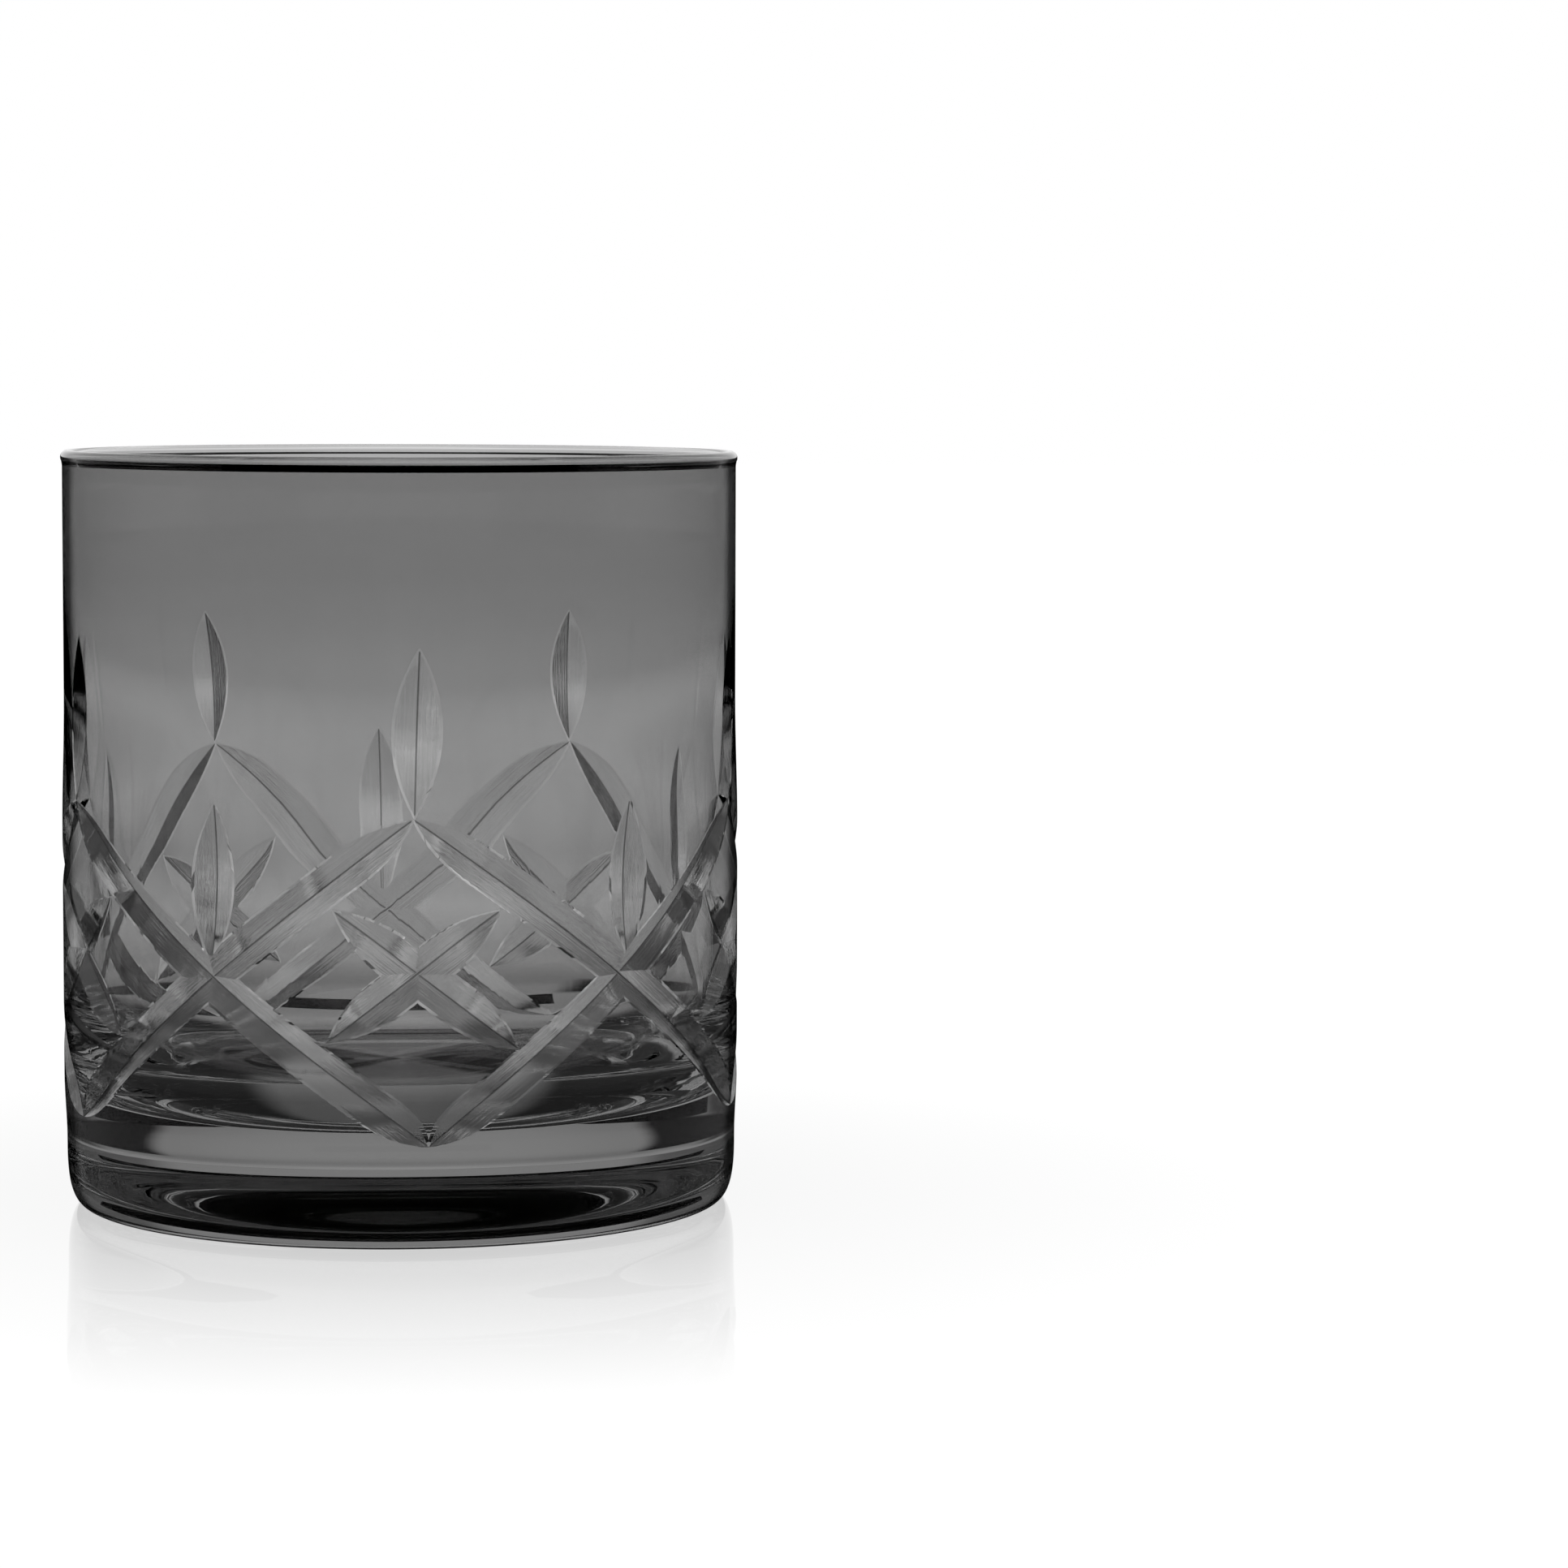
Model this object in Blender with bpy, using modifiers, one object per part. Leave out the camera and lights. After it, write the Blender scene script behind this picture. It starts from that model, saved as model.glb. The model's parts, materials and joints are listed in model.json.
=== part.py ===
"""Cut glass whiskey tumbler, modelled as the one piece of glass that it is.

The body is a turned profile: thick base, straight wall that thins towards a
fire-polished rim, and a slight hollow under the foot.  The pattern is cut into
the outside by V-edged wheels: a zigzag of long slanting cuts that cross in
diamonds, a leaf on each peak and each crossing, and a cross in each diamond.

Frame: +Z up, origin at the centre of the base on the surface it stands on,
-Y is the front.  Angles are in degrees and run from the front towards +X.
"""

import math

import bmesh
import bpy

MM = 0.001

# the body, in millimetres
HEIGHT = 92.0
WALL_RADIUS = 41.0          # outside, above the cuts
BELLY_SWELL = 0.3           # the cut part of the wall stands out by this much
BELLY_TOP = (62.0, 46.0)    # from above, the swell starts and is full here
BELLY_FOOT = (8.0, 16.0)    # and from below
FOOT_RADIUS = 38.1          # outer edge of the ring that it stands on
FOOT_RING = 2.6             # width of that flat ring
FOOT_HOLLOW = 1.2           # depth of the hollow inside the ring
HEEL_HEIGHT = 8.0           # the rounded corner between foot and wall
HEEL_SQUARENESS = 2.9       # exponent of the heel's curve, 2 is an ellipse
FLOOR_THICKNESS = 12.5      # from the table to the floor of the cup
FLOOR_FILLET = 15.5          # between the floor and the wall
WALL_AT_RIM = 1.3
WALL_AT_CUTS = 2.7
WALL_THINS = (46.0, 76.0)   # the wall goes from one to the other between these
BEAD_RADIUS = 0.85          # rolled edge of the rim
BEAD_OVERHANG = 0.2         # the bead stands this far out of the wall
BEAD_UNDERSIDE = -30.0      # the round of the bead ends at this angle below its middle

# the pattern, in degrees and millimetres
REPEATS = 5
REPEAT_ANGLE = 360.0 / REPEATS
PEAK = (1.9, 50.4)          # the first peak of the zigzag: angle and height
VALLEY = (4.2, 12.4)        # the valley under it
TALL_LEAF = (2.1, 50.6, 3.0, 70.0)      # angle and height of foot and tip
SMALL_LEAF = (3.7, 33.0, 4.3, 51.9)     # the same, half a repeat further round
CROSS_RIGHT = (-12.0, 24.6, 16.0, 39.7)  # the cross cut that rises to the right
CROSS_LEFT = (19.0, 23.5, -11.0, 39.8)  # and the one that rises to the left

LONG_CUT_WIDTH = 4.5
CROSS_CUT_WIDTH = 4.8
LEAF_WIDTH = 5.3
CUT_DEPTH = 1.05            # deepest place of a cut
LATER_CUT_EXTRA = 0.1       # the later cut of two that cross goes this much deeper
PEAK_RUN_OUT = 9.0          # a cut runs out to its tip over this length
VALLEY_RUN_OUT = 6.5
CROSS_RUN_OUT = 8.5

# resolution
STEPS_ROUND = 80
LEAF_RINGS = 8
CROSS_RINGS = 10
LONG_RINGS = 16


def smooth_step(start, end, value):
    """0 at start and 1 at end, level at both."""
    share = min(max((value - start) / (end - start), 0.0), 1.0)
    return share * share * (3.0 - 2.0 * share)


def outer_radius(height):
    """Outside radius of the wall above the heel."""
    swell = smooth_step(*BELLY_TOP, height) * smooth_step(*BELLY_FOOT, height)
    return WALL_RADIUS + BELLY_SWELL * swell


def inner_radius(height):
    """Inside radius of the wall above the fillet."""
    thinning = smooth_step(*WALL_THINS, height)
    return WALL_RADIUS - WALL_AT_CUTS + (WALL_AT_CUTS - WALL_AT_RIM) * thinning


def arc(centre, radius, start, end, count):
    """Points on an arc, angles from +X towards +Z."""
    points = []
    for index in range(count + 1):
        angle = math.radians(start + (end - start) * index / count)
        points.append((centre[0] + radius * math.cos(angle), centre[1] + radius * math.sin(angle)))
    return points


def heel_point(angle):
    """Point of the heel, 0 at the wall and 90 at the foot."""
    power = 2.0 / HEEL_SQUARENESS
    across = math.cos(math.radians(angle)) ** power
    down = math.sin(math.radians(angle)) ** power
    return FOOT_RADIUS + (WALL_RADIUS - FOOT_RADIUS) * across, HEEL_HEIGHT * (1.0 - down)


def hollow_points(edge, count):
    """The hollow under the foot, a shallow dome from its edge to the axis."""
    dome = (edge * edge + FOOT_HOLLOW * FOOT_HOLLOW) / (2.0 * FOOT_HOLLOW)
    points = []
    for index in range(count + 1):
        radius = edge * (1.0 - index / count)
        points.append((radius, FOOT_HOLLOW - dome + math.sqrt(dome * dome - radius * radius)))
    return points


def body_profile():
    """Half section: from the floor of the cup over the rim to the hollow under the foot."""
    fillet_centre = (inner_radius(FLOOR_THICKNESS) - FLOOR_FILLET, FLOOR_THICKNESS + FLOOR_FILLET)
    bead_centre = (WALL_RADIUS + BEAD_OVERHANG - BEAD_RADIUS, HEIGHT - BEAD_RADIUS)
    points = [(0.0, FLOOR_THICKNESS)]
    points += arc(fillet_centre, FLOOR_FILLET, -90.0, 0.0, 8)
    points += [(inner_radius(height), height) for height in (46.0, 53.0, 61.0, 69.0, 76.0)]
    points += arc(bead_centre, BEAD_RADIUS, 180.0, BEAD_UNDERSIDE, 7)
    points += [(outer_radius(height), height) for height in (89.8, 62.0, 54.0, 46.0, 16.0, 12.0)]
    points += [heel_point(angle) for angle in (0.0, 25.0, 45.0, 60.0, 75.0, 90.0)]
    points += hollow_points(FOOT_RADIUS - FOOT_RING, 4)
    return points


def turned_body(collection):
    """Turn the half section about the axis."""
    points = body_profile()
    mesh = bpy.data.meshes.new("glass_tumbler")
    verts = [(radius * MM, 0.0, height * MM) for radius, height in points]
    edges = [(index, index + 1) for index in range(len(points) - 1)]
    mesh.from_pydata(verts, edges, [])
    body = bpy.data.objects.new("glass_tumbler", mesh)
    collection.objects.link(body)
    screw = body.modifiers.new("turn", "SCREW")
    screw.axis = "Z"
    screw.angle = math.radians(360.0)
    screw.steps = STEPS_ROUND
    screw.render_steps = STEPS_ROUND
    screw.use_merge_vertices = True
    screw.merge_threshold = 0.00005
    screw.use_smooth_shade = True
    return body


def wheel_cut(name, start, end, width, depth, run_outs, rings, collection):
    """Cutter of one V-shaped wheel cut between two tips on the outside wall.

    start and end are (angle, height).  A three-sided prism gets rings along its
    length.  Each ring is set to the depth there, which runs out towards the tips
    as the round of the wheel does, and is laid on the wall.
    """
    clear = 0.5             # the cutter stands this far out of the wall
    overrun = 0.25          # and this far past its tips
    arc_length = math.radians(end[0] - start[0]) * WALL_RADIUS
    rise = end[1] - start[1]
    length = math.hypot(arc_length, rise)
    along, up = arc_length / length, rise / length
    flare = width / (2.0 * depth)
    bm = bmesh.new()
    bmesh.ops.create_cone(bm, cap_ends=True, segments=3, radius1=1.0, radius2=1.0, depth=1.0)
    long_edges = [edge for edge in bm.edges if abs(edge.verts[0].co.z - edge.verts[1].co.z) > 0.5]
    bmesh.ops.subdivide_edges(bm, edges=long_edges, cuts=rings, use_grid_fill=True)
    valley = max(vert.co.y for vert in bm.verts) - 0.01
    for vert in bm.verts:
        place = (vert.co.z + 0.5) * (length + 2.0 * overrun) - overrun
        left = max(1.0 - place / run_outs[0], 1.0 - (length - place) / run_outs[1], 0.0)
        ring_depth = depth * (1.0 - left * left)
        if vert.co.y > valley:
            aside, out = 0.0, -ring_depth
        else:
            # the minus keeps the prism unmirrored, so that its faces point out
            aside, out = math.copysign((ring_depth + clear) * flare, -vert.co.x), clear
        angle = math.radians(start[0]) + (place * along - aside * up) / WALL_RADIUS
        height = start[1] + place * up + aside * along
        radius = outer_radius(height) + out
        vert.co = (radius * math.sin(angle) * MM, -radius * math.cos(angle) * MM, height * MM)
    mesh = bpy.data.meshes.new(name)
    bm.to_mesh(mesh)
    bm.free()
    cutter = bpy.data.objects.new(name, mesh)
    cutter.hide_render = True
    cutter.display_type = "WIRE"
    collection.objects.link(cutter)


def long_cuts(turn, tag, collection):
    """The two long cuts that fall from one peak to the valleys on either side of it."""
    start = (PEAK[0] + turn, PEAK[1])
    run_outs = (PEAK_RUN_OUT, VALLEY_RUN_OUT)
    right_end = (VALLEY[0] + turn + REPEAT_ANGLE, VALLEY[1])
    left_end = (VALLEY[0] + turn - REPEAT_ANGLE, VALLEY[1])
    wheel_cut("long_right_" + tag, start, right_end, LONG_CUT_WIDTH, CUT_DEPTH + LATER_CUT_EXTRA,
              run_outs, LONG_RINGS, collection)
    wheel_cut("long_left_" + tag, start, left_end, LONG_CUT_WIDTH, CUT_DEPTH, run_outs, LONG_RINGS,
              collection)


def leaf(name, leaf_line, turn, collection):
    """One leaf, deepest in its middle."""
    foot = (leaf_line[0] + turn, leaf_line[1])
    tip = (leaf_line[2] + turn, leaf_line[3])
    half = (tip[1] - foot[1]) / 2.0
    wheel_cut(name, foot, tip, LEAF_WIDTH, CUT_DEPTH, (half, half), LEAF_RINGS, collection)


def cross(turn, tag, collection):
    """The cross in one diamond."""
    run_outs = (CROSS_RUN_OUT, CROSS_RUN_OUT)
    for side, line, depth in (("right", CROSS_RIGHT, CUT_DEPTH + LATER_CUT_EXTRA),
                              ("left", CROSS_LEFT, CUT_DEPTH)):
        wheel_cut("cross_" + side + "_" + tag, (line[0] + turn, line[1]), (line[2] + turn, line[3]),
                  CROSS_CUT_WIDTH, depth, run_outs, CROSS_RINGS, collection)


def cut_pattern(body, collection):
    """Cut the whole pattern into the body."""
    for repeat in range(REPEATS):
        turn = repeat * REPEAT_ANGLE
        tag = str(repeat + 1)
        long_cuts(turn, tag, collection)
        leaf("tall_leaf_" + tag, TALL_LEAF, turn, collection)
        leaf("small_leaf_" + tag, SMALL_LEAF, turn + REPEAT_ANGLE / 2.0, collection)
        cross(turn, tag, collection)
    cuts = body.modifiers.new("wheel_cuts", "BOOLEAN")
    cuts.operation = "DIFFERENCE"
    cuts.operand_type = "COLLECTION"
    cuts.collection = collection
    cuts.solver = "EXACT"


def smoked_crystal():
    """Neutral grey glass with a polished surface."""
    material = bpy.data.materials.new("smoked_crystal")
    material.use_nodes = True
    shader = material.node_tree.nodes["Principled BSDF"]
    shader.inputs["Base Color"].default_value = (0.16, 0.16, 0.16, 1.0)
    shader.inputs["Metallic"].default_value = 0.0
    shader.inputs["Roughness"].default_value = 0.02
    shader.inputs["IOR"].default_value = 1.52
    shader.inputs["Transmission Weight"].default_value = 0.9
    return material


def new_collection(name):
    collection = bpy.data.collections.new(name)
    bpy.context.scene.collection.children.link(collection)
    return collection


def main():
    for item in list(bpy.data.objects):
        bpy.data.objects.remove(item, do_unlink=True)
    body = turned_body(new_collection("whiskey_tumbler"))
    body.data.materials.append(smoked_crystal())
    cut_pattern(body, new_collection("cutters"))


main()
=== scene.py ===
import json
import math

import bpy
from mathutils import Matrix, Vector

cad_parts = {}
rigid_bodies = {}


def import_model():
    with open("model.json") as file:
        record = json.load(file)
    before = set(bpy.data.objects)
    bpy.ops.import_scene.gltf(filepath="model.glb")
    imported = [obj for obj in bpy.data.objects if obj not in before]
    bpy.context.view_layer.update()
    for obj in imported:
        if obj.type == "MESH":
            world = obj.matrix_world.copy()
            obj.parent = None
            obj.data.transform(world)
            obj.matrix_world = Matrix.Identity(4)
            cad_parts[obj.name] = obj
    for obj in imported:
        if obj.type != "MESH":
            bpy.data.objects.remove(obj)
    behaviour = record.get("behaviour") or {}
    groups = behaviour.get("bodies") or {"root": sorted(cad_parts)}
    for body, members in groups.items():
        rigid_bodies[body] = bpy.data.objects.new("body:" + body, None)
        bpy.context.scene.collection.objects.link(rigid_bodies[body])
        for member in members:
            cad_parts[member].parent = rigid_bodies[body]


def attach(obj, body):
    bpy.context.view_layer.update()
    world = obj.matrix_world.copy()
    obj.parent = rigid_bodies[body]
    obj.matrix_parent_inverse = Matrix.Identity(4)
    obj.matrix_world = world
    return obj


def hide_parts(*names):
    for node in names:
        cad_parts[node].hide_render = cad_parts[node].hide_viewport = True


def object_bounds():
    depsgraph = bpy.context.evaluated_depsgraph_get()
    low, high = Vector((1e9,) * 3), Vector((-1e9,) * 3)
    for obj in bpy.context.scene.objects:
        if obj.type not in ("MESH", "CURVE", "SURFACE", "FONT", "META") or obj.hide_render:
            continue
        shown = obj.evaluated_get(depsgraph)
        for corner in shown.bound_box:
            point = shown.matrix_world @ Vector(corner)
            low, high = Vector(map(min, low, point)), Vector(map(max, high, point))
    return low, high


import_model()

cadBox = [list(corner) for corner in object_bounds()]
mm = 0.001
frameHeight = (cadBox[1][2] - cadBox[0][2]) / mm
frameRadius = (cadBox[1][0] - cadBox[0][0]) / 2.0 / mm


# small helpers

def toLinear(code):
    channels = [int(code[place:place + 2], 16) / 255.0 for place in (0, 2, 4)]
    return [c / 12.92 if c <= 0.04045 else ((c + 0.055) / 1.055) ** 2.4 for c in channels] + [1.0]


def newMaterial(name):
    material = bpy.data.materials.new(name)
    material.use_nodes = True
    material.node_tree.nodes.clear()
    return material


def addNode(owner, kind, settings=None, **inputs):
    # an input that is a socket is linked, anything else is set on the node's own socket
    tree = owner.node_tree
    node = tree.nodes.new(kind)
    for name, value in (settings or {}).items():
        setattr(node, name, value)
    for name, value in inputs.items():
        socket = node.inputs[int(name[2:])] if name.startswith("at") else node.inputs[name.replace("_", " ")]
        if isinstance(value, bpy.types.NodeSocket):
            tree.links.new(value, socket)
        else:
            socket.default_value = value
    return node


def letGo():
    if bpy.context.mode != "OBJECT":
        bpy.ops.object.mode_set(mode="OBJECT")
    bpy.ops.object.select_all(action="DESELECT")


def pickUp(piece):
    letGo()
    piece.select_set(True)
    bpy.context.view_layer.objects.active = piece


def smoothStep(start, end, value):
    share = min(max((value - start) / (end - start), 0.0), 1.0)
    return share * share * (3.0 - 2.0 * share)


def spread(start, end, count):
    return [start + (end - start) * index / count for index in range(count + 1)]


# finishes, with painted shade at the outline and painted highlights along the cuts

lustre = {
    "facing": "787878",      # smoke film looked at square on
    "grazingFilmAndOutlineShade": "1c1c1c",     # the same film seen edge on, darkened to black as painted shade at the outline
    "cutFacing": "9c9c9c",   # a lighter tint on the cut faces
    "lipHighlightTint": "989898",   # painted highlight: a lighter tint along the edges of the cuts
    "cutRoughness": 0.03,
    "edgeStarts": 0.71,      # share of turning away where the film's painted outline shade begins
    "edgeEnds": 0.81,
    "ior": 1.52,             # lead-free crystal
}


def smokeLustreWithOutlineShade(name, facing, roughness, marksAndShade=None):
    # crystal with a fired smoke film outside: grey where looked at square on, and black at the outline as
    # painted shade
    material = newMaterial(name)
    facingNode = addNode(material, "ShaderNodeLayerWeight", Blend=0.5)
    # painted shade: the colour blackens towards the outline as the surface turns away
    edge = addNode(material, "ShaderNodeMapRange", {"interpolation_type": "SMOOTHSTEP"},
                   Value=facingNode.outputs["Facing"], From_Min=lustre["edgeStarts"],
                   From_Max=lustre["edgeEnds"])
    colour = addNode(material, "ShaderNodeMix", {"data_type": "RGBA"}, at0=edge.outputs[0],
                     at6=toLinear(facing), at7=toLinear(lustre["grazingFilmAndOutlineShade"]))
    shader = addNode(material, "ShaderNodeBsdfPrincipled", Base_Color=colour.outputs[2],
                     Roughness=roughness, IOR=lustre["ior"], Transmission_Weight=1.0)
    if marksAndShade:
        marksAndShade(material, shader)
    addNode(material, "ShaderNodeOutputMaterial", Surface=shader.outputs[0])
    return material


def clearCrystal():
    # fire-polished lead-free crystal inside the cup: colourless and perfectly smooth
    material = newMaterial("clearCrystal")
    shader = addNode(material, "ShaderNodeBsdfPrincipled", Base_Color=toLinear("ffffff"),
                     Roughness=0.0, IOR=lustre["ior"], Transmission_Weight=1.0)
    addNode(material, "ShaderNodeOutputMaterial", Surface=shader.outputs[0])
    return material


wheel = {
    "furrowLength": 8.0,                # mm
    "furrowSpacing": 0.2,               # coarser than a real wheel leaves, so that it shows
    "furrowDepth": 0.03,
    "furrowTone": (0.35, 0.6),          # noise that is shaded fully and not at all
    "furrowShade": 0.86,
    "valleyHalfWidth": (0.05, 0.16),    # mm
    # painted shade along the valley of each cut
    "valleyShade": 0.12,
}


def wheelMarksAndValleyShade(material, shader):
    # a stone wheel leaves fine furrows along each cut, and a thin dark line of painted shade runs along each
    # valley
    place = addNode(material, "ShaderNodeUVMap", {"uv_map": "alongCut"})
    stretch = addNode(material, "ShaderNodeMapping", Vector=place.outputs[0],
                      Scale=(1.0 / (wheel["furrowLength"] * mm), 1.0 / (wheel["furrowSpacing"] * mm), 1.0))
    furrows = addNode(material, "ShaderNodeTexNoise", {"noise_dimensions": "2D"},
                      Vector=stretch.outputs[0], Scale=1.0, Detail=3.0, Roughness=0.6)
    dent = addNode(material, "ShaderNodeBump", Strength=1.0, Distance=wheel["furrowDepth"] * mm,
                   Height=furrows.outputs[0])
    material.node_tree.links.new(dent.outputs[0], shader.inputs["Normal"])
    streak = addNode(material, "ShaderNodeMapRange", Value=furrows.outputs[0],
                     From_Min=wheel["furrowTone"][0], From_Max=wheel["furrowTone"][1],
                     To_Min=wheel["furrowShade"], To_Max=1.0)
    parts = addNode(material, "ShaderNodeSeparateXYZ", Vector=place.outputs[0])
    across = addNode(material, "ShaderNodeMath", {"operation": "ABSOLUTE"}, at0=parts.outputs[1])
    # painted shade: the colour darkens along the valley line in the middle of the cut
    valley = addNode(material, "ShaderNodeMapRange", {"interpolation_type": "SMOOTHSTEP"},
                     Value=across.outputs[0], From_Min=wheel["valleyHalfWidth"][0] * mm,
                     From_Max=wheel["valleyHalfWidth"][1] * mm, To_Min=wheel["valleyShade"], To_Max=1.0)
    shade = addNode(material, "ShaderNodeMath", {"operation": "MULTIPLY"}, at0=streak.outputs[0],
                    at1=valley.outputs[0])
    plain = shader.inputs["Base Color"].links[0].from_socket
    tinted = addNode(material, "ShaderNodeMix", {"data_type": "RGBA"}, at0=shade.outputs[0],
                     at6=toLinear("000000"), at7=plain)
    material.node_tree.links.new(tinted.outputs[2], shader.inputs["Base Color"])


finishes = {
    "outside": smokeLustreWithOutlineShade("smokeLustreWithOutlineShade", lustre["facing"], 0.0),
    "inside": clearCrystal(),
    "cut": smokeLustreWithOutlineShade("wheelCutLustre", lustre["cutFacing"], lustre["cutRoughness"], wheelMarksAndValleyShade),
    # the bevels along the cut edges get a lighter tint, a painted highlight on top of their real bevel
    "lip": smokeLustreWithOutlineShade("lipHighlightLustre", lustre["lipHighlightTint"], 0.0),
}


# glass body, turned from its profile (mm)

body = {
    "height": frameHeight,
    "bellySwell": 0.3,
    "wallRadius": frameRadius - 0.3,
    "bellyTop": (62.0, 46.0),       # heights between which the swelling comes and goes
    "bellyFoot": (8.0, 16.0),
    "footRadius": 38.1,
    "footRing": 2.6,
    "footHollow": 1.2,
    "heelHeight": 8.0,
    "heelSquareness": 2.9,
    "floorThickness": 12.5,
    "floorFillet": 15.5,
    "wallAtRim": 1.3,
    "wallAtCuts": 2.7,
    "wallThins": (46.0, 76.0),
    "beadRadius": 0.85,
    "beadOverhang": 0.2,
    "beadUnderside": -30.0,
    "stepsRound": 360,
    "weldWithin": 0.004,            # points closer than this become one
    "floorSlack": 0.01,
}


def outerRadius(height):
    swell = smoothStep(*body["bellyTop"], height) * smoothStep(*body["bellyFoot"], height)
    return body["wallRadius"] + body["bellySwell"] * swell


def innerRadius(height):
    thinning = smoothStep(*body["wallThins"], height)
    wall = body["wallAtCuts"] + (body["wallAtRim"] - body["wallAtCuts"]) * thinning
    return body["wallRadius"] - wall


def arcPoints(centre, radius, start, end, count):
    angles = [math.radians(angle) for angle in spread(start, end, count)]
    return [(centre[0] + radius * math.cos(a), centre[1] + radius * math.sin(a)) for a in angles]


def heelPoint(angle):
    power = 2.0 / body["heelSquareness"]
    across = math.cos(math.radians(angle)) ** power
    down = math.sin(math.radians(angle)) ** power
    reach = body["wallRadius"] - body["footRadius"]
    return body["footRadius"] + reach * across, body["heelHeight"] * (1.0 - down)


def hollowPoints(edge, count):
    rise = body["footHollow"]
    dome = (edge * edge + rise * rise) / (2.0 * rise)
    radii = spread(edge, 0.0, count)
    return [(radius, rise - dome + math.sqrt(dome * dome - radius * radius)) for radius in radii]


def beadCentre():
    bead = body["beadRadius"]
    return body["wallRadius"] + body["beadOverhang"] - bead, body["height"] - bead


def insideProfile():
    floor, fillet = body["floorThickness"], body["floorFillet"]
    filletCentre = (innerRadius(floor) - fillet, floor + fillet)
    points = [(0.0, floor), (filletCentre[0] * 0.5, floor)]
    points += arcPoints(filletCentre, fillet, -90.0, 0.0, 36)
    points += [(innerRadius(height), height) for height in spread(32.0, 78.0, 16)]
    points += [(innerRadius(84.0), 84.0)]
    points += arcPoints(beadCentre(), body["beadRadius"], 180.0, 90.0, 20)
    return points


def outsideProfile():
    points = arcPoints(beadCentre(), body["beadRadius"], 90.0, body["beadUnderside"], 26)[1:]
    heights = [90.2, 89.8, 84.0, 76.0, 69.0, *spread(62.0, 46.0, 8), 36.0, 26.0, *spread(16.0, 9.0, 7)]
    points += [(outerRadius(height), height) for height in heights]
    points += [heelPoint(angle) for angle in (0.0, 4.0, *spread(8.0, 80.0, 20), 84.0, 87.0, 90.0)]
    points += [(body["footRadius"] - body["footRing"] * 0.5, 0.0)]
    return points + hollowPoints(body["footRadius"] - body["footRing"], 10)


def drawProfile(points, name):
    letGo()
    bpy.ops.mesh.primitive_plane_add(size=mm, location=(0.0, 0.0, 0.0))
    piece = bpy.context.object
    piece.name = piece.data.name = name
    bpy.ops.object.mode_set(mode="EDIT")
    bpy.ops.mesh.select_all(action="SELECT")
    bpy.ops.mesh.merge(type="CENTER")
    steps = [Vector((radius, 0.0, height)) * mm for radius, height in points]
    bpy.ops.transform.translate(value=steps[0])
    for before, after in zip(steps, steps[1:]):
        bpy.ops.mesh.extrude_region_move(TRANSFORM_OT_translate={"value": after - before})
    return piece


def turnGlass():
    inside, outside = insideProfile(), outsideProfile()
    piece = drawProfile(inside + outside, "tumblerGlass")
    bpy.ops.mesh.select_all(action="SELECT")
    bpy.ops.mesh.spin(steps=body["stepsRound"], angle=math.radians(360.0), center=(0, 0, 0), axis=(0, 0, 1))
    bpy.ops.mesh.select_all(action="SELECT")
    bpy.ops.mesh.remove_doubles(threshold=body["weldWithin"] * mm)
    bpy.ops.mesh.select_all(action="SELECT")
    bpy.ops.mesh.normals_make_consistent(inside=False)
    bpy.ops.object.mode_set(mode="OBJECT")
    for name in ("outside", "inside"):
        piece.data.materials.append(finishes[name])
    rimTop = inside[-1]
    lowest = body["floorThickness"] - body["floorSlack"]
    for face in piece.data.polygons:
        # the smoke film ends on top of the rim, and the cup inside it is bare crystal
        across, level = math.hypot(face.center.x, face.center.y) / mm, face.center.z / mm
        outwards = face.normal.x * face.center.x + face.normal.y * face.center.y
        cup = level > lowest and (outwards < 0.0 or across < body["footRadius"])
        face.material_index = 1 if cup and across < rimTop[0] else 0
    piece.data.uv_layers.new(name="alongCut")
    print("body turned:", len(piece.data.polygons), "faces")
    return piece


# wheel cuts; angles in degrees from the front towards +X, heights and sizes in mm

cuts = {
    "repeats": 5,
    "peak": (1.9, 50.4),
    "valley": (4.2, 12.4),
    "tallLeaf": ((2.1, 50.6), (3.0, 70.0)),
    "smallLeaf": ((3.7, 33.0), (4.3, 51.9)),
    "crossRight": ((-12.0, 24.6), (16.0, 39.7)),
    "crossLeft": ((19.0, 23.5), (-11.0, 39.8)),
    "longWidth": 4.5,
    "crossWidth": 4.8,
    "leafWidth": 5.3,
    "depth": 1.05,
    "laterExtra": 0.1,       # a cut made later runs a little deeper through the ones before it
    "peakRunOut": 9.0,       # length over which a cut rises out of the wall
    "valleyRunOut": 6.5,
    "crossRunOut": 8.5,
    "lipWidth": 0.15,        # a narrow bevel along the edges of each cut
    "lipSlope": 9.0,
    "ringSpacing": 1.2,
    "cutClear": (0.5, 0.25), # how far a cutter's back stands off the wall, and its ends run on
    "lipClear": (0.15, 0.8),
    "crispAngle": 6.5,       # edges that turn through more than this stay sharp
}


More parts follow.
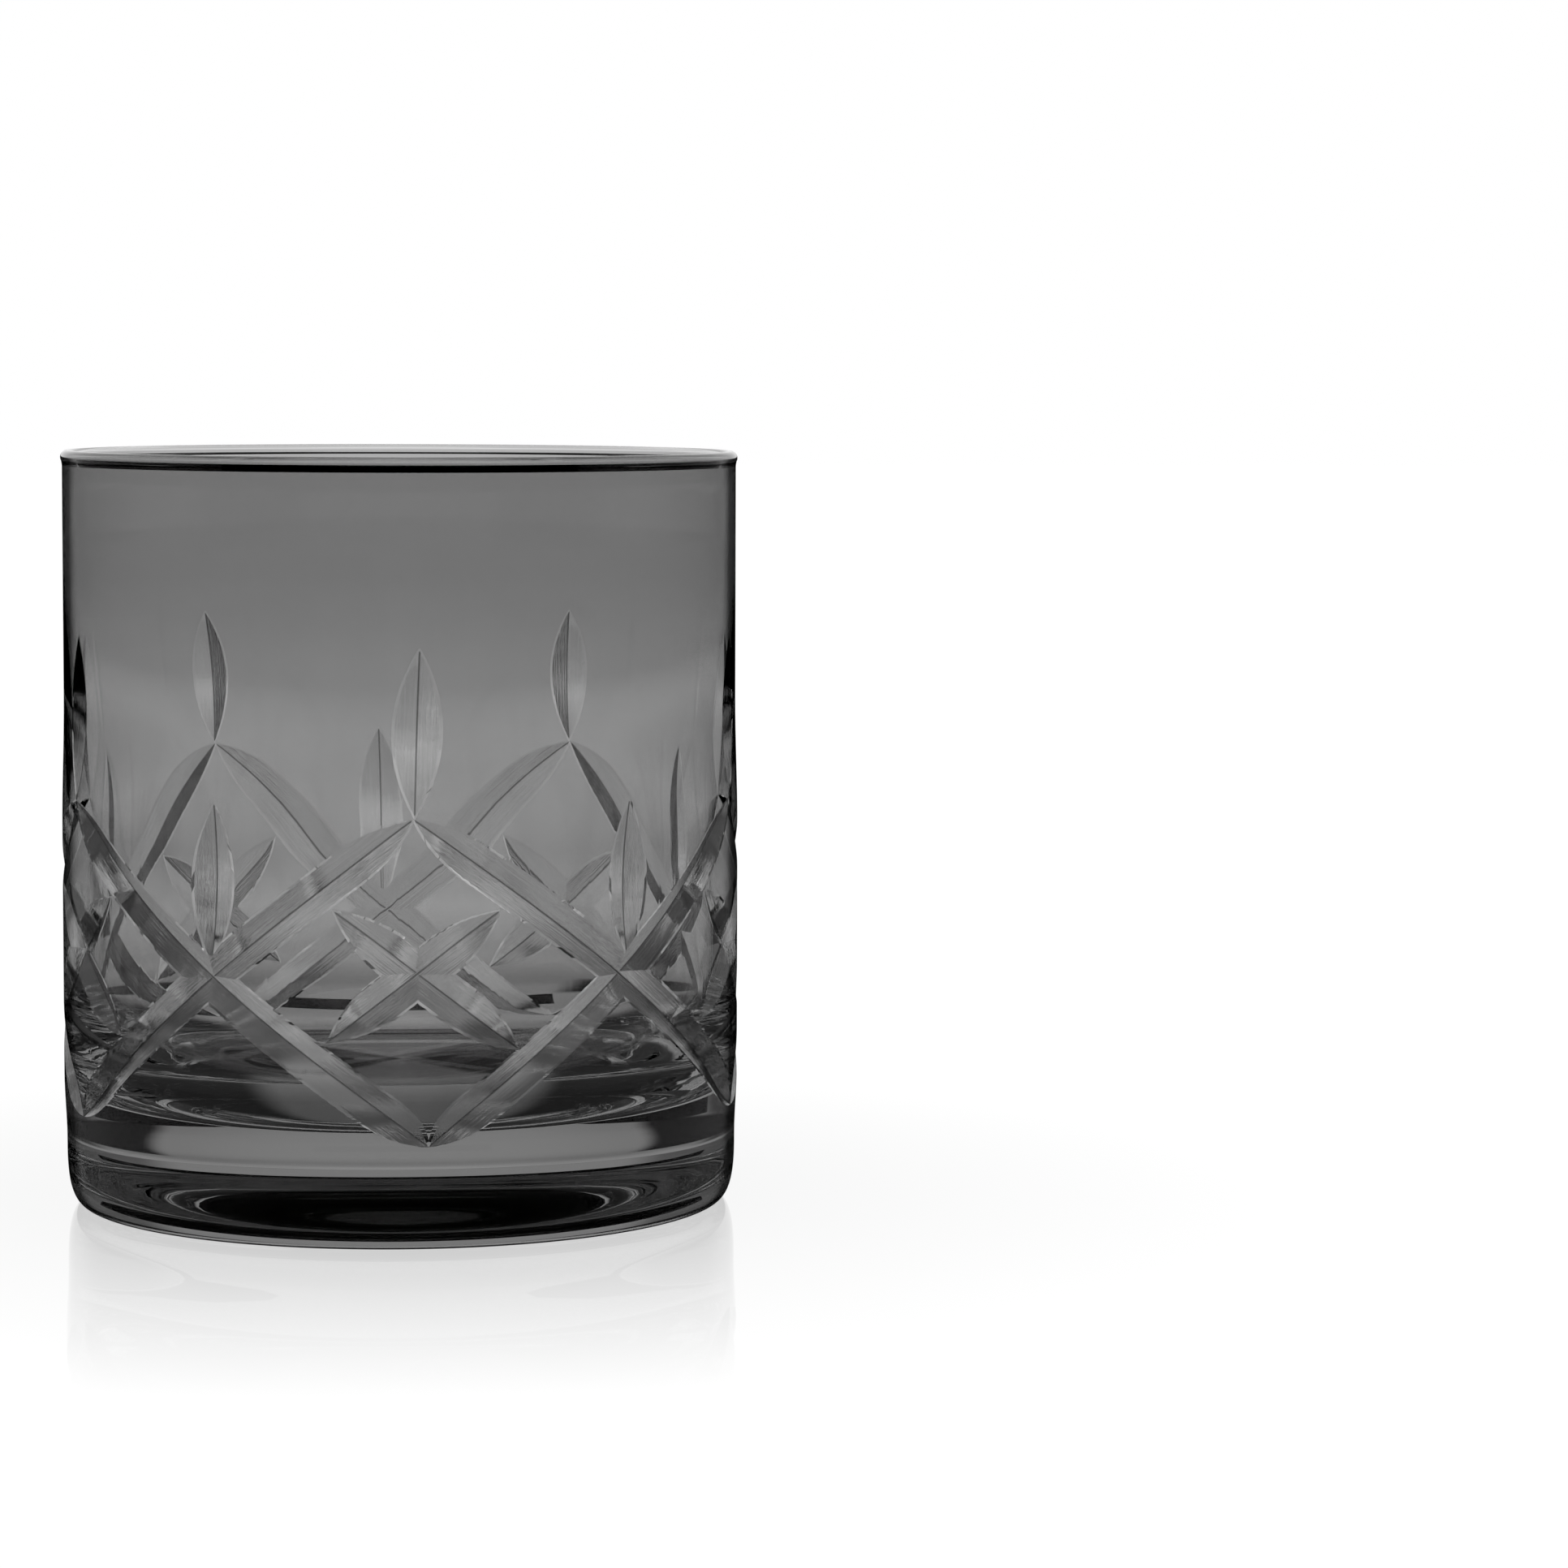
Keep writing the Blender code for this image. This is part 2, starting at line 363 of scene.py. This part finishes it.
def listCuts():
    repeat = 360.0 / cuts["repeats"]
    depth, later = cuts["depth"], cuts["depth"] + cuts["laterExtra"]
    valleyTurn, valleyHeight = cuts["valley"]
    longEnds = (cuts["peakRunOut"], cuts["valleyRunOut"])
    crossEnds = (cuts["crossRunOut"], cuts["crossRunOut"])
    jobs = []
    for name, shift, deep in (("longRight", repeat, later), ("longLeft", -repeat, depth)):
        jobs.append({"name": name, "from": cuts["peak"], "to": (valleyTurn + shift, valleyHeight),
                     "width": cuts["longWidth"], "depth": deep, "ends": longEnds})
    for name, deep in (("crossRight", later), ("crossLeft", depth)):
        foot, tip = cuts[name]
        jobs.append({"name": name, "from": foot, "to": tip, "width": cuts["crossWidth"],
                     "depth": deep, "ends": crossEnds})
    for name, shift in (("tallLeaf", 0.0), ("smallLeaf", repeat / 2.0)):
        foot, tip = cuts[name]
        half = (tip[1] - foot[1]) / 2.0
        jobs.append({"name": name, "from": (foot[0] + shift, foot[1]), "to": (tip[0] + shift, tip[1]),
                     "width": cuts["leafWidth"], "depth": depth, "ends": (half, half)})
    return jobs


def modelCutter(job, lip):
    # a three-sided bar laid along +X, its valley towards +Y and its flat back clear of the wall
    radius = body["wallRadius"]
    run = math.radians(job["to"][0] - job["from"][0]) * radius
    rise = job["to"][1] - job["from"][1]
    length = math.hypot(run, rise)
    mainFlare = job["width"] / (2.0 * job["depth"])
    flare = 1.0 / math.tan(math.radians(cuts["lipSlope"])) if lip else mainFlare
    clear, overrun = cuts["lipClear"] if lip else cuts["cutClear"]

    def reachAt(place):
        left = max(1.0 - place / job["ends"][0], 1.0 - (length - place) / job["ends"][1], 0.0)
        halfWidth = job["depth"] * (1.0 - left * left) * mainFlare
        return (halfWidth + (cuts["lipWidth"] if lip else 0.0)) / flare + clear

    def swellAt(place):
        return outerRadius(job["from"][1] + rise * min(max(place / length, 0.0), 1.0)) - radius

    places = spread(-overrun, length + overrun, math.ceil(length / cuts["ringSpacing"]))
    letGo()
    bpy.ops.mesh.primitive_circle_add(vertices=3, radius=mm, fill_type="NGON", location=(0, 0, 0))
    cutter = bpy.context.object
    cutter.name = cutter.data.name = job["name"] + ("Lip" if lip else "")
    reach, back = reachAt(places[0]), -clear - swellAt(places[0])
    corners = ((back + reach, 0.0), (back, reach * flare), (back, -reach * flare))
    for vert, (depth, side) in zip(cutter.data.vertices, corners):
        vert.co = Vector((places[0], depth, side)) * mm
    bpy.ops.object.mode_set(mode="EDIT")
    bpy.ops.mesh.select_all(action="SELECT")
    for before, after in zip(places, places[1:]):
        step = Vector((after - before, swellAt(before) - swellAt(after), 0.0)) * mm
        bpy.ops.mesh.extrude_region_move(TRANSFORM_OT_translate={"value": step})
        size = reachAt(after) / reachAt(before)
        pivot = Vector((after, -clear - swellAt(after), 0.0)) * mm
        bpy.ops.transform.resize(value=(1.0, size, size), center_override=pivot)
    bpy.ops.mesh.select_all(action="SELECT")
    bpy.ops.mesh.normals_make_consistent(inside=False)
    bpy.ops.object.mode_set(mode="OBJECT")
    # a lip cutter leaves faces with the lighter tint of the painted highlight
    cutter.data.materials.append(finishes["lip" if lip else "cut"])
    marks = cutter.data.uv_layers.new(name="alongCut")
    for loop in cutter.data.loops:
        spot = cutter.data.vertices[loop.vertex_index].co
        marks.data[loop.index].uv = (spot.x, spot.z)
    cutter.rotation_euler = (0.0, -math.atan2(rise, run), 0.0)
    return cutter


def wrapCutter(template, job, turn, cutters):
    # lays a copy at its place on the unrolled wall, then bends the wall round
    radius = body["wallRadius"]
    cutter = template.copy()
    cutter.data = template.data.copy()
    bpy.context.scene.collection.objects.link(cutter)
    pickUp(cutter)
    cutter.location = Vector((math.radians(job["from"][0] + turn) * radius, 0.0, job["from"][1])) * mm
    bpy.ops.object.transform_apply(location=True, rotation=True, scale=True)
    reach = [vert.co.x for vert in cutter.data.vertices]
    bend = cutter.modifiers.new("roundTheWall", "SIMPLE_DEFORM")
    bend.deform_method = "BEND"
    bend.deform_axis = "Z"
    bend.angle = (max(reach) - min(reach)) / (radius * mm)
    bpy.ops.object.modifier_apply(modifier=bend.name)
    cutter.location = (0.0, -radius * mm, 0.0)
    bpy.ops.object.transform_apply(location=True, rotation=False, scale=False)
    bpy.context.scene.collection.objects.unlink(cutter)
    cutters.objects.link(cutter)


def cutGlass(piece):
    cutters = bpy.data.collections.new("cutters")
    bpy.context.scene.collection.children.link(cutters)
    for job in listCuts():
        for lip in (False, True):
            template = modelCutter(job, lip)
            for index in range(cuts["repeats"]):
                wrapCutter(template, job, 360.0 * index / cuts["repeats"], cutters)
            bpy.data.objects.remove(template, do_unlink=True)
    pickUp(piece)
    pattern = piece.modifiers.new("wheelCuts", "BOOLEAN")
    pattern.operation = "DIFFERENCE"
    pattern.operand_type = "COLLECTION"
    pattern.collection = cutters
    pattern.solver = "EXACT"
    pattern.material_mode = "TRANSFER"
    bpy.ops.object.modifier_apply(modifier=pattern.name)
    for cutter in list(cutters.objects):
        bpy.data.objects.remove(cutter, do_unlink=True)
    bpy.data.collections.remove(cutters)
    pickUp(piece)
    bpy.ops.object.shade_smooth_by_angle(angle=math.radians(cuts["crispAngle"]))
    print("pattern cut:", len(piece.data.polygons), "faces")


# stage; lengths in mm, angles in degrees, light as a share of plain white

easing = {"interpolation_type": "SMOOTHSTEP"}
times = {"operation": "MULTIPLY"}
larger = {"operation": "MAXIMUM"}


def fade(start, end, before, after):
    # a Map Range's ends: before up to start, after from end on
    return {"From_Min": start, "From_Max": end, "To_Min": before, "To_Max": after}


def groundDistance(material):
    # distance from the tumbler's axis in mm
    place = addNode(material, "ShaderNodeTexCoord")
    reach = addNode(material, "ShaderNodeVectorMath", {"operation": "LENGTH"}, at0=place.outputs["Object"])
    distance = addNode(material, "ShaderNodeMath", {"operation": "DIVIDE"}, at0=reach.outputs["Value"],
                       at1=mm)
    return distance.outputs[0]


def turnFromDepth(owner, parts):
    # degrees away from the front-to-back line, the same ahead and behind
    across = addNode(owner, "ShaderNodeMath", {"operation": "ABSOLUTE"}, at0=parts.outputs[0])
    along = addNode(owner, "ShaderNodeMath", {"operation": "ABSOLUTE"}, at0=parts.outputs[1])
    turn = addNode(owner, "ShaderNodeMath", {"operation": "ARCTAN2"}, at0=across.outputs[0],
                   at1=along.outputs[0])
    return addNode(owner, "ShaderNodeMath", {"operation": "DEGREES"}, at0=turn.outputs[0]).outputs[0]


def addPlane(name, width, height, location, tilt, material):
    letGo()
    bpy.ops.mesh.primitive_plane_add(size=1.0, location=(0, 0, 0))
    panel = bpy.context.object
    panel.name = panel.data.name = name
    panel.scale = (width, height, 1.0)
    panel.rotation_euler = (math.radians(tilt), 0.0, 0.0)
    panel.location = location
    bpy.ops.object.transform_apply(location=True, rotation=True, scale=True)
    panel.data.materials.append(material)
    return panel


def shownTo(panel, camera=False, transmission=False):
    panel.visible_camera = camera
    panel.visible_transmission = transmission
    panel.visible_glossy = False
    panel.visible_diffuse = False
    panel.visible_shadow = False


floorSheet = {
    "size": 8000.0,
    "glow": 1.03,
    "ior": 1.65,
    "mirrorFades": fade(40.0, 130.0, 1.0, 0.0),    # by distance from the axis
}


def makeFloor():
    # white acrylic sheet, which mirrors the tumbler near it
    material = newMaterial("whiteAcrylic")
    light = addNode(material, "ShaderNodeEmission", Strength=floorSheet["glow"])
    mirror = addNode(material, "ShaderNodeBsdfGlossy", Roughness=0.0)
    facing = addNode(material, "ShaderNodeFresnel", IOR=floorSheet["ior"])
    near = addNode(material, "ShaderNodeMapRange", Value=groundDistance(material),
                   **floorSheet["mirrorFades"])
    share = addNode(material, "ShaderNodeMath", times, at0=facing.outputs[0], at1=near.outputs[0])
    both = addNode(material, "ShaderNodeMixShader", at0=share.outputs[0], at1=light.outputs[0],
                   at2=mirror.outputs[0])
    addNode(material, "ShaderNodeOutputMaterial", Surface=both.outputs[0])
    side = floorSheet["size"] * mm
    shownTo(addPlane("floor", side, side, (0, 0, 0), 0.0, material), camera=True)


lightTable = {
    "size": 8000.0,
    "drop": 0.02,                                  # below the floor's face
    "brightest": 2.0,
    # distance from the axis, and the light there
    "light": [(0.0, 0.45), (37.0, 0.45), (43.0, 1.35), (56.0, 1.35), (66.0, 1.0), (92.0, 1.1), (103.0, 0.8),
              (150.0, 1.3), (230.0, 1.25), (335.0, 1.7), (375.0, 1.5), (430.0, 1.18), (700.0, 1.03),
              (1500.0, 0.95), (2000.0, 0.95)],
    "sideShade": fade(30.0, 42.0, 1.0, 0.15),      # by turn from the front-to-back line
    "sideShadeEnds": fade(125.0, 190.0, 0.0, 1.0),
    "footShade": fade(14.0, 18.0, 1.0, 0.04),      # by turn, on the ring that the base shows
    "footShadeInner": fade(84.0, 88.0, 0.0, 1.0),
    "footShadeOuter": fade(103.0, 109.0, 1.0, 0.0),
    "offAxis": fade(2.0, 14.0, 1.0, 0.87),         # by turn, at any distance
}


def makeLightTable():
    # what the glass refracts: light by distance from the axis, shaded off to the sides near the foot
    material = newMaterial("lightTable")
    reach = groundDistance(material)
    farthest = lightTable["light"][-1][0]
    share = addNode(material, "ShaderNodeMath", {"operation": "DIVIDE"}, at0=reach, at1=farthest)
    light = addNode(material, "ShaderNodeValToRGB", Fac=share.outputs[0])
    stops = light.color_ramp.elements
    stops[0].position, stops[1].position = 0.0, 1.0
    for distance, level in lightTable["light"]:
        place = distance / farthest
        stop = stops[0] if place == 0.0 else stops[-1] if place == 1.0 else stops.new(place)
        stop.color = [level / lightTable["brightest"]] * 3 + [1.0]
    position = addNode(material, "ShaderNodeTexCoord")
    parts = addNode(material, "ShaderNodeSeparateXYZ", Vector=position.outputs["Object"])
    turn = turnFromDepth(material, parts)
    beside = addNode(material, "ShaderNodeMapRange", easing, Value=turn, **lightTable["sideShade"])
    away = addNode(material, "ShaderNodeMapRange", easing, Value=reach, **lightTable["sideShadeEnds"])
    side = addNode(material, "ShaderNodeMix", {"data_type": "FLOAT"}, at0=away.outputs[0],
                   at2=beside.outputs[0], at3=1.0)
    inner = addNode(material, "ShaderNodeMapRange", easing, Value=reach, **lightTable["footShadeInner"])
    outer = addNode(material, "ShaderNodeMapRange", easing, Value=reach, **lightTable["footShadeOuter"])
    ring = addNode(material, "ShaderNodeMath", times, at0=inner.outputs[0], at1=outer.outputs[0])
    dark = addNode(material, "ShaderNodeMapRange", easing, Value=turn, **lightTable["footShade"])
    foot = addNode(material, "ShaderNodeMix", {"data_type": "FLOAT"}, at0=ring.outputs[0], at2=1.0,
                   at3=dark.outputs[0])
    offAxis = addNode(material, "ShaderNodeMapRange", easing, Value=turn, **lightTable["offAxis"])
    near = addNode(material, "ShaderNodeMath", times, at0=side.outputs[0], at1=foot.outputs[0])
    shade = addNode(material, "ShaderNodeMath", times, at0=near.outputs[0], at1=offAxis.outputs[0])
    strength = addNode(material, "ShaderNodeMath", times, at0=shade.outputs[0], at1=lightTable["brightest"])
    shine = addNode(material, "ShaderNodeEmission", Color=light.outputs[0], Strength=strength.outputs[0])
    addNode(material, "ShaderNodeOutputMaterial", Surface=shine.outputs[0])
    width = lightTable["size"] * mm
    table = addPlane("lightTable", width, width, (0, 0, -lightTable["drop"] * mm), 0.0, material)
    shownTo(table, transmission=True)


blackCards = {
    "distance": 61.0,
    "foot": (44.0, 4.9, 8.8),                      # width, lower edge, upper edge
    "rim": (150.0, 93.0, 118.0),
}


def makeFlags():
    # black cards close behind and before the glass keep light out of its thick base and draw its rim dark
    black = newMaterial("blackCard")
    unlit = addNode(black, "ShaderNodeEmission", Strength=0.0)
    addNode(black, "ShaderNodeOutputMaterial", Surface=unlit.outputs[0])
    for width, low, high in (blackCards["foot"], blackCards["rim"]):
        place = (0, blackCards["distance"] * mm, (low + high) / 2.0 * mm)
        for turn in (0.0, 180.0):
            flag = addPlane("blackFlag", width * mm, (high - low) * mm, place, 90.0, black)
            shownTo(flag, transmission=True)
            flag.rotation_euler = (0.0, 0.0, math.radians(turn))


surround = {
    "band": fade(16.4, 17.6, 1.0, 0.0),            # by elevation, seen through the glass
    "sky": fade(18.0, 30.0, 0.03, 0.1),
    "bandAhead": fade(28.0, 40.0, 1.0, 0.45),      # by turn from the front-to-back line
    "bandFlank": fade(62.0, 78.0, 0.0, 0.85),
    "mirrored": fade(0.0, 1.0, 0.0, 1.0),          # by elevation, seen in reflections
    "mirroredSides": fade(35.0, 60.0, 1.0, 0.35),
}


def makeWorld():
    # a low band of light round the horizon through the glass, a white sky in reflections, and plain
    # white to the camera
    world = bpy.data.worlds.new("studio")
    bpy.context.scene.world = world
    world.use_nodes = True
    world.node_tree.nodes.clear()
    rays = addNode(world, "ShaderNodeLightPath")
    heading = addNode(world, "ShaderNodeTexCoord")
    parts = addNode(world, "ShaderNodeSeparateXYZ", Vector=heading.outputs["Generated"])
    turn = turnFromDepth(world, parts)
    lift = addNode(world, "ShaderNodeMath", {"operation": "ARCSINE"}, at0=parts.outputs[2])
    elevation = addNode(world, "ShaderNodeMath", {"operation": "DEGREES"}, at0=lift.outputs[0]).outputs[0]
    band = addNode(world, "ShaderNodeMapRange", easing, Value=elevation, **surround["band"])
    sky = addNode(world, "ShaderNodeMapRange", easing, Value=elevation, **surround["sky"])
    ahead = addNode(world, "ShaderNodeMapRange", easing, Value=turn, **surround["bandAhead"])
    flank = addNode(world, "ShaderNodeMapRange", easing, Value=turn, **surround["bandFlank"])
    level = addNode(world, "ShaderNodeMath", larger, at0=ahead.outputs[0], at1=flank.outputs[0])
    lit = addNode(world, "ShaderNodeMath", times, at0=band.outputs[0], at1=level.outputs[0])
    light = addNode(world, "ShaderNodeMath", larger, at0=lit.outputs[0], at1=sky.outputs[0])
    through = addNode(world, "ShaderNodeMath", times, at0=light.outputs[0],
                      at1=rays.outputs["Is Transmission Ray"])
    above = addNode(world, "ShaderNodeMapRange", easing, Value=elevation, **surround["mirrored"])
    beside = addNode(world, "ShaderNodeMapRange", easing, Value=turn, **surround["mirroredSides"])
    white = addNode(world, "ShaderNodeMath", times, at0=above.outputs[0], at1=beside.outputs[0])
    mirrored = addNode(world, "ShaderNodeMath", times, at0=white.outputs[0],
                       at1=rays.outputs["Is Reflection Ray"])
    both = addNode(world, "ShaderNodeMath", larger, at0=through.outputs[0], at1=mirrored.outputs[0])
    seen = addNode(world, "ShaderNodeMath", larger, at0=both.outputs[0], at1=rays.outputs["Is Camera Ray"])
    air = addNode(world, "ShaderNodeBackground", Color=(1, 1, 1, 1), Strength=seen.outputs[0])
    addNode(world, "ShaderNodeOutputWorld", Surface=air.outputs[0])


# camera

view = {
    "distance": 630.0,       # mm in front of the axis
    "height": 104.4,
    "down": 4.84,            # degrees
    "right": 4.28,
    "roll": 0.19,
    "lens": 117.8,           # mm, on a film 36 mm wide
    "filmWidth": 36.0,
}


def placeCamera():
    data = bpy.data.cameras.new("camera")
    data.lens = view["lens"]
    data.sensor_width = view["filmWidth"]
    data.clip_start = 0.01
    data.clip_end = 20.0
    camera = bpy.data.objects.new("camera", data)
    bpy.context.scene.collection.objects.link(camera)
    camera.location = (0.0, -view["distance"] * mm, view["height"] * mm)
    turn = Matrix.Rotation(math.radians(-view["right"]), 4, "Z")
    turn = turn @ Matrix.Rotation(math.radians(90.0 - view["down"]), 4, "X")
    turn = turn @ Matrix.Rotation(math.radians(view["roll"]), 4, "Z")
    camera.rotation_euler = turn.to_euler()
    bpy.context.scene.camera = camera


glass = turnGlass()
cutGlass(glass)
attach(glass, "root")
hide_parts("glass_tumbler")
makeFloor()
makeLightTable()
makeFlags()
makeWorld()
placeCamera()
scene = bpy.context.scene
scene.view_settings.view_transform = "Standard"
scene.cycles.max_bounces = 24
scene.cycles.transmission_bounces = 24
scene.cycles.glossy_bounces = 12
